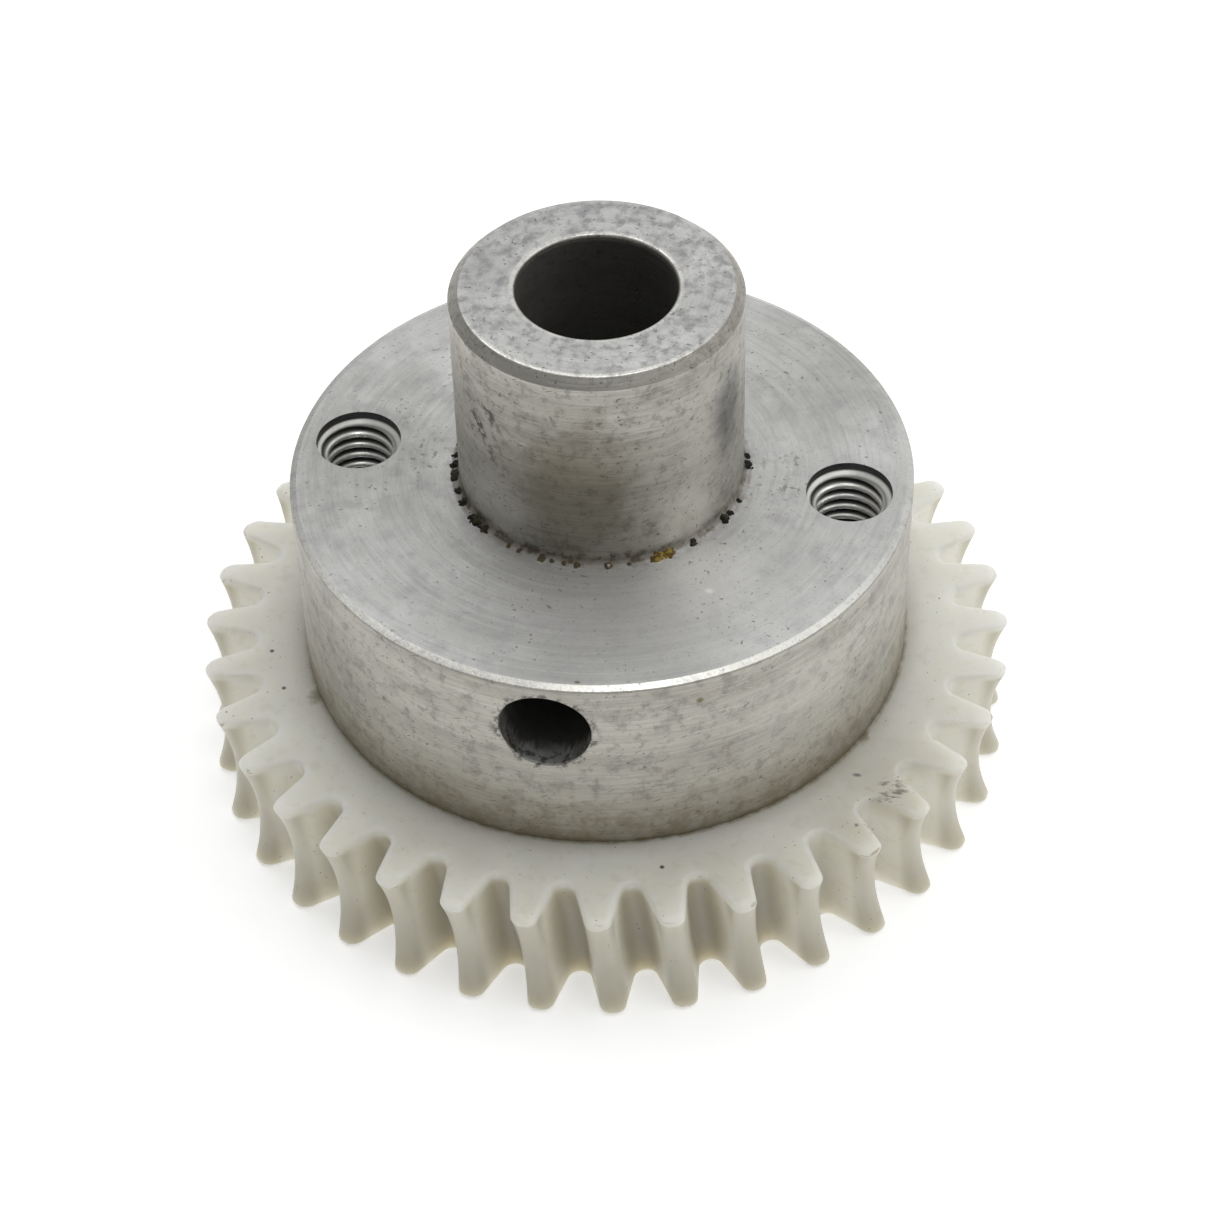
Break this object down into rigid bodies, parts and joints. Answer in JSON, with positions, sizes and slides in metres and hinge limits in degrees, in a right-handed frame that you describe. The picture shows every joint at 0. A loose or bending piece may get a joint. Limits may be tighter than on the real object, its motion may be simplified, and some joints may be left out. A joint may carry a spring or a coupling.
{
  "type": "worm wheel",
  "caption": "Worm wheel: a throated white nylon tooth ring screwed under the flange of a turned aluminium hub, clamped to its shaft by a grub screw in the flange's rim.",
  "frame": {"origin": "on the shaft bore's axis, in the underside of the tooth ring", "axes": "+Z along the shaft bore towards the boss, the two tapped holes on the X axis, the clamp screw's hole facing -Y"},
  "size_m": [0.043, 0.043, 0.0298],
  "materials": {
    "turned_aluminium": "turned, dulled by age, with fine lathe rings",
    "natural_nylon": "natural uncoloured nylon, slightly translucent, satin",
    "zinc_steel": "zinc-plated steel, dull",
    "blackened_steel": "black-oxide steel, satin"
  },
  "bodies": {
    "wheel": {"hub": "turned_aluminium", "gear_ring": "natural_nylon", "ring_screw_left": "zinc_steel", "ring_screw_right": "zinc_steel"},
    "clamp_screw": {"set_screw": "blackened_steel"}
  },
  "joints": [
    {"name": "clamp_screw_travel", "type": "slide", "parent": "wheel", "child": "clamp_screw", "axis": [0, -1, 0], "range_m": [-0.0001, 0.004]}
  ]
}
